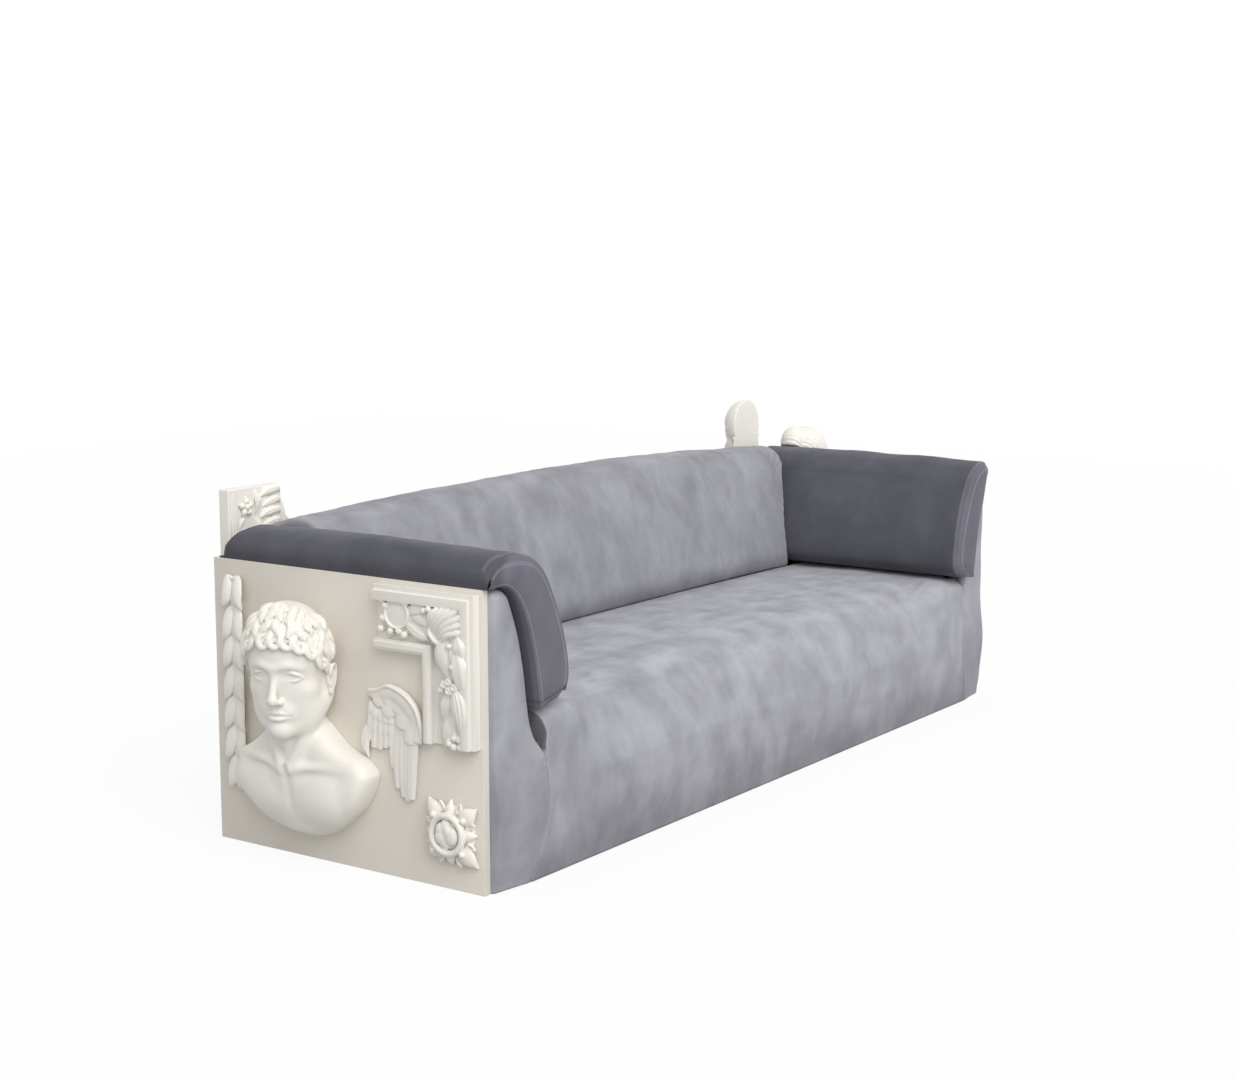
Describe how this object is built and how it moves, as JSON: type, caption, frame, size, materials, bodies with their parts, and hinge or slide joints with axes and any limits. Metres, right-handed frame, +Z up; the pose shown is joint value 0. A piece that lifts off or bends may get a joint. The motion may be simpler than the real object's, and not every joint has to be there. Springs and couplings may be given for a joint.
{
  "type": "sofa",
  "caption": "Long upholstered sofa in two greys of suede, clad at its ends and back in pale panels that carry plaster casts of antique ornament.",
  "frame": {"origin": "on the floor, at the middle of the whole object's box", "axes": "+X to the sitter's left end, which is the right end seen from the front, +Y to the back, +Z up"},
  "size_m": [2.9206, 1.0419, 0.932],
  "materials": {
    "light_suede": "brushed nubuck",
    "dark_suede": "brushed nubuck",
    "plaster": "satin cast",
    "panel_paint": "satin paint",
    "timber": "sawn",
    "foam": "open cell",
    "steel": "drawn wire",
    "brass": "turned",
    "black_cloth": "spunbond",
    "black_plastic": "moulded"
  },
  "bodies": {
    "root": {"front_rail": "timber", "back_rail": "timber", "spring_rail": "timber", "end_rail_left": "timber", "end_rail_right": "timber", "cross_rails": "timber", "corner_blocks": "timber", "arm_frame_left": "timber", "arm_frame_right": "timber", "back_ribs": "timber", "back_rails": "timber", "seat_springs": "steel", "spring_clips": "steel", "panel_bolts": "steel", "glides": "black_plastic", "dust_cover": "black_cloth", "back_webbing": "black_cloth", "seat_foam": "foam", "seat_cover": "light_suede", "arm_front_left": "light_suede", "arm_front_right": "light_suede", "back_cushion": "light_suede", "arm_pad_left": "dark_suede", "arm_pad_right": "dark_suede", "side_panel_left": "panel_paint", "side_panel_right": "panel_paint", "back_panel": "panel_paint", "panel_inserts": "brass", "husk_garland": "plaster", "bust_left": "plaster", "wing": "plaster", "frame_corner": "plaster", "ribbon_garland": "plaster", "rosette": "plaster", "bust_right": "plaster", "head_cast": "plaster", "frieze_fragment": "plaster"}
  },
  "joints": []
}
